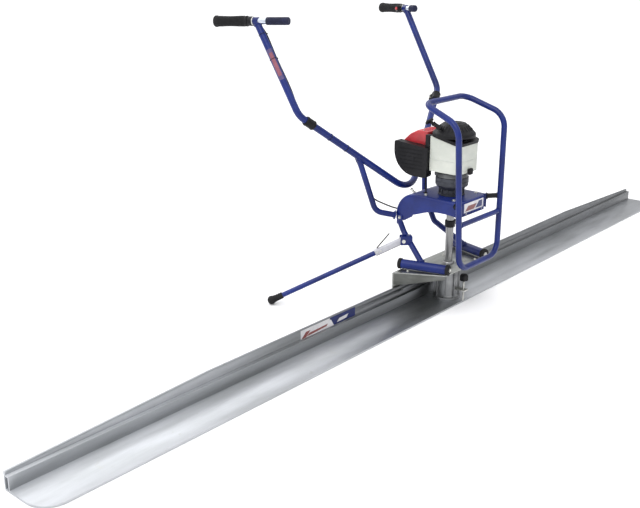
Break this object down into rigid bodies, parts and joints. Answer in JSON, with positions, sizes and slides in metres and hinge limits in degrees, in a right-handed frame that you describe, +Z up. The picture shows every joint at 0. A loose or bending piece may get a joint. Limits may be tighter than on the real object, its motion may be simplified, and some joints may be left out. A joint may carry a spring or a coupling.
{
  "type": "power screed",
  "caption": "Walk-behind power screed: a long aluminium board under a vibrating base, with an engine on a tube frame, roll cage, swivelling T-bar handles and a folding kickstand.",
  "frame": {"origin": "centre of the board's sole, under the drive shaft", "axes": "+X along the board, +Y towards the operator, +Z up"},
  "size_m": [3.658, 0.8652, 1.0502],
  "materials": {
    "blue_paint": "gloss blue powder coat",
    "board_aluminium": "mill-finish extrusion",
    "cast_aluminium": "satin",
    "zinc_steel": "zinc plated",
    "dark_steel": "dark heat-stained steel",
    "black_plastic": "satin black",
    "black_rubber": "matt",
    "tank_plastic": "translucent off-white",
    "red_plastic": "satin red"
  },
  "bodies": {
    "frame": {"air_cleaner": "black_plastic", "base_plate": "cast_aluminium", "carburettor": "zinc_steel", "clutch_housing": "cast_aluminium", "cylinder_cover": "red_plastic", "drive_post": "zinc_steel", "engine_block": "cast_aluminium", "engine_deck": "blue_paint", "exciter_housing": "cast_aluminium", "front_clamp": "zinc_steel", "fuel_tank": "tank_plastic", "handle_yoke": "blue_paint", "left_foot": "blue_paint", "left_front_isolator": "black_rubber", "left_handle_clamp": "black_plastic", "left_rear_isolator": "black_rubber", "lower_bearing": "zinc_steel", "muffler": "dark_steel", "post_clamp": "black_plastic", "right_foot": "blue_paint", "right_front_isolator": "black_rubber", "right_handle_clamp": "black_plastic", "right_rear_isolator": "black_rubber", "roll_cage": "blue_paint", "screed_board": "board_aluminium", "spark_plug_cap": "black_rubber", "stand_bracket": "blue_paint", "stand_pin": "zinc_steel", "starter_housing": "black_plastic", "tank_bumper": "black_rubber", "throttle_cable": "black_rubber", "upper_bearing": "zinc_steel", "yoke_standoff": "zinc_steel"},
    "kickstand": {"stand_channel": "zinc_steel", "stand_leg": "blue_paint", "stand_foot": "black_rubber"},
    "stand_release": {"stand_release": "zinc_steel"},
    "left_handle": {"left_handle_tube": "blue_paint", "left_rear_grip": "black_rubber", "left_front_grip": "black_rubber", "throttle_housing": "black_plastic", "upper_throttle_cable": "black_rubber"},
    "right_handle": {"right_handle_tube": "blue_paint", "right_rear_grip": "black_rubber", "right_front_grip": "black_rubber", "stop_switch": "black_plastic"},
    "throttle_lever": {"throttle_lever": "black_plastic"},
    "stop_button": {"stop_button": "red_plastic"},
    "starter_grip": {"starter_grip": "black_plastic"},
    "starter_reel": {"starter_reel": "zinc_steel"},
    "fuel_cap": {"fuel_cap": "black_plastic"},
    "front_knob": {"front_clamp_knob": "black_plastic"},
    "left_knob": {"left_rib_knob": "black_plastic"},
    "right_knob": {"right_rib_knob": "black_plastic"},
    "crank": {"crankshaft": "zinc_steel", "flywheel": "cast_aluminium", "clutch_shoes": "dark_steel"},
    "drive": {"drive_shaft": "zinc_steel", "clutch_drum": "dark_steel", "eccentric_weight": "dark_steel"}
  },
  "joints": [
    {"name": "kickstand_fold", "type": "hinge", "parent": "frame", "child": "kickstand", "pos_m": [-0.135, 0.117, 0.239], "axis": [0.6876, 0.7261, 0], "range_deg": [0, 70]},
    {"name": "stand_release_press", "type": "hinge", "parent": "kickstand", "child": "stand_release", "pos_m": [-0.20481, 0.18312, 0.21388], "axis": [0.6876, 0.7261, 0], "range_deg": [0, 12], "stiffness_Nm_per_rad": 0.6},
    {"name": "left_handle_swivel", "type": "hinge", "parent": "frame", "child": "left_handle", "pos_m": [-0.39307, 0.35263, 0.68696], "axis": [-0.7511, 0.3241, 0.5751], "range_deg": [-45, 45]},
    {"name": "right_handle_swivel", "type": "hinge", "parent": "frame", "child": "right_handle", "pos_m": [0.39307, 0.35263, 0.68696], "axis": [0.7511, 0.3241, 0.5751], "range_deg": [-45, 45]},
    {"name": "throttle_squeeze", "type": "hinge", "parent": "left_handle", "child": "throttle_lever", "pos_m": [-0.42853, 0.58549, 1.03917], "axis": [0.0097, -0.0336, -0.9994], "range_deg": [0, 50], "stiffness_Nm_per_rad": 0.05},
    {"name": "stop_press", "type": "slide", "parent": "right_handle", "child": "stop_button", "axis": [0.9608, -0.2772, 0], "range_m": [0, 0.0025], "stiffness_N_per_m": 400},
    {"name": "starter_pull", "type": "slide", "parent": "frame", "child": "starter_grip", "axis": [-0.15, 0.8997, 0.4099], "range_m": [0, 0.55], "stiffness_N_per_m": 25, "springref_m": -0.05},
    {"name": "starter_reel_spin", "type": "hinge", "parent": "frame", "child": "starter_reel", "pos_m": [0, 0, 0.645], "axis": [0, 0, -1], "range_deg": [0, 1300]},
    {"name": "fuel_cap_turn", "type": "hinge", "parent": "frame", "child": "fuel_cap", "pos_m": [0.064, -0.01, 0.57], "axis": [0.9659, 0, 0.259], "continuous": true},
    {"name": "front_knob_turn", "type": "hinge", "parent": "frame", "child": "front_knob", "pos_m": [0, -0.0735, 0.086], "axis": [0, 0, 1], "continuous": true},
    {"name": "left_knob_turn", "type": "hinge", "parent": "frame", "child": "left_knob", "pos_m": [-0.175, 0.0976, 0.062], "axis": [0, 1, 0], "continuous": true},
    {"name": "right_knob_turn", "type": "hinge", "parent": "frame", "child": "right_knob", "pos_m": [0.175, 0.0976, 0.062], "axis": [0, 1, 0], "continuous": true},
    {"name": "crank_spin", "type": "hinge", "parent": "frame", "child": "crank", "pos_m": [0, 0, 0.55], "axis": [0, 0, 1], "continuous": true},
    {"name": "drive_spin", "type": "hinge", "parent": "frame", "child": "drive", "pos_m": [0, 0, 0.25], "axis": [0, 0, 1], "continuous": true}
  ],
  "couplings": [
    {"joint": "drive_spin", "follows": "crank_spin", "ratio": 1},
    {"joint": "starter_reel_spin", "follows": "starter_pull", "rad_per_m": 38.462}
  ]
}
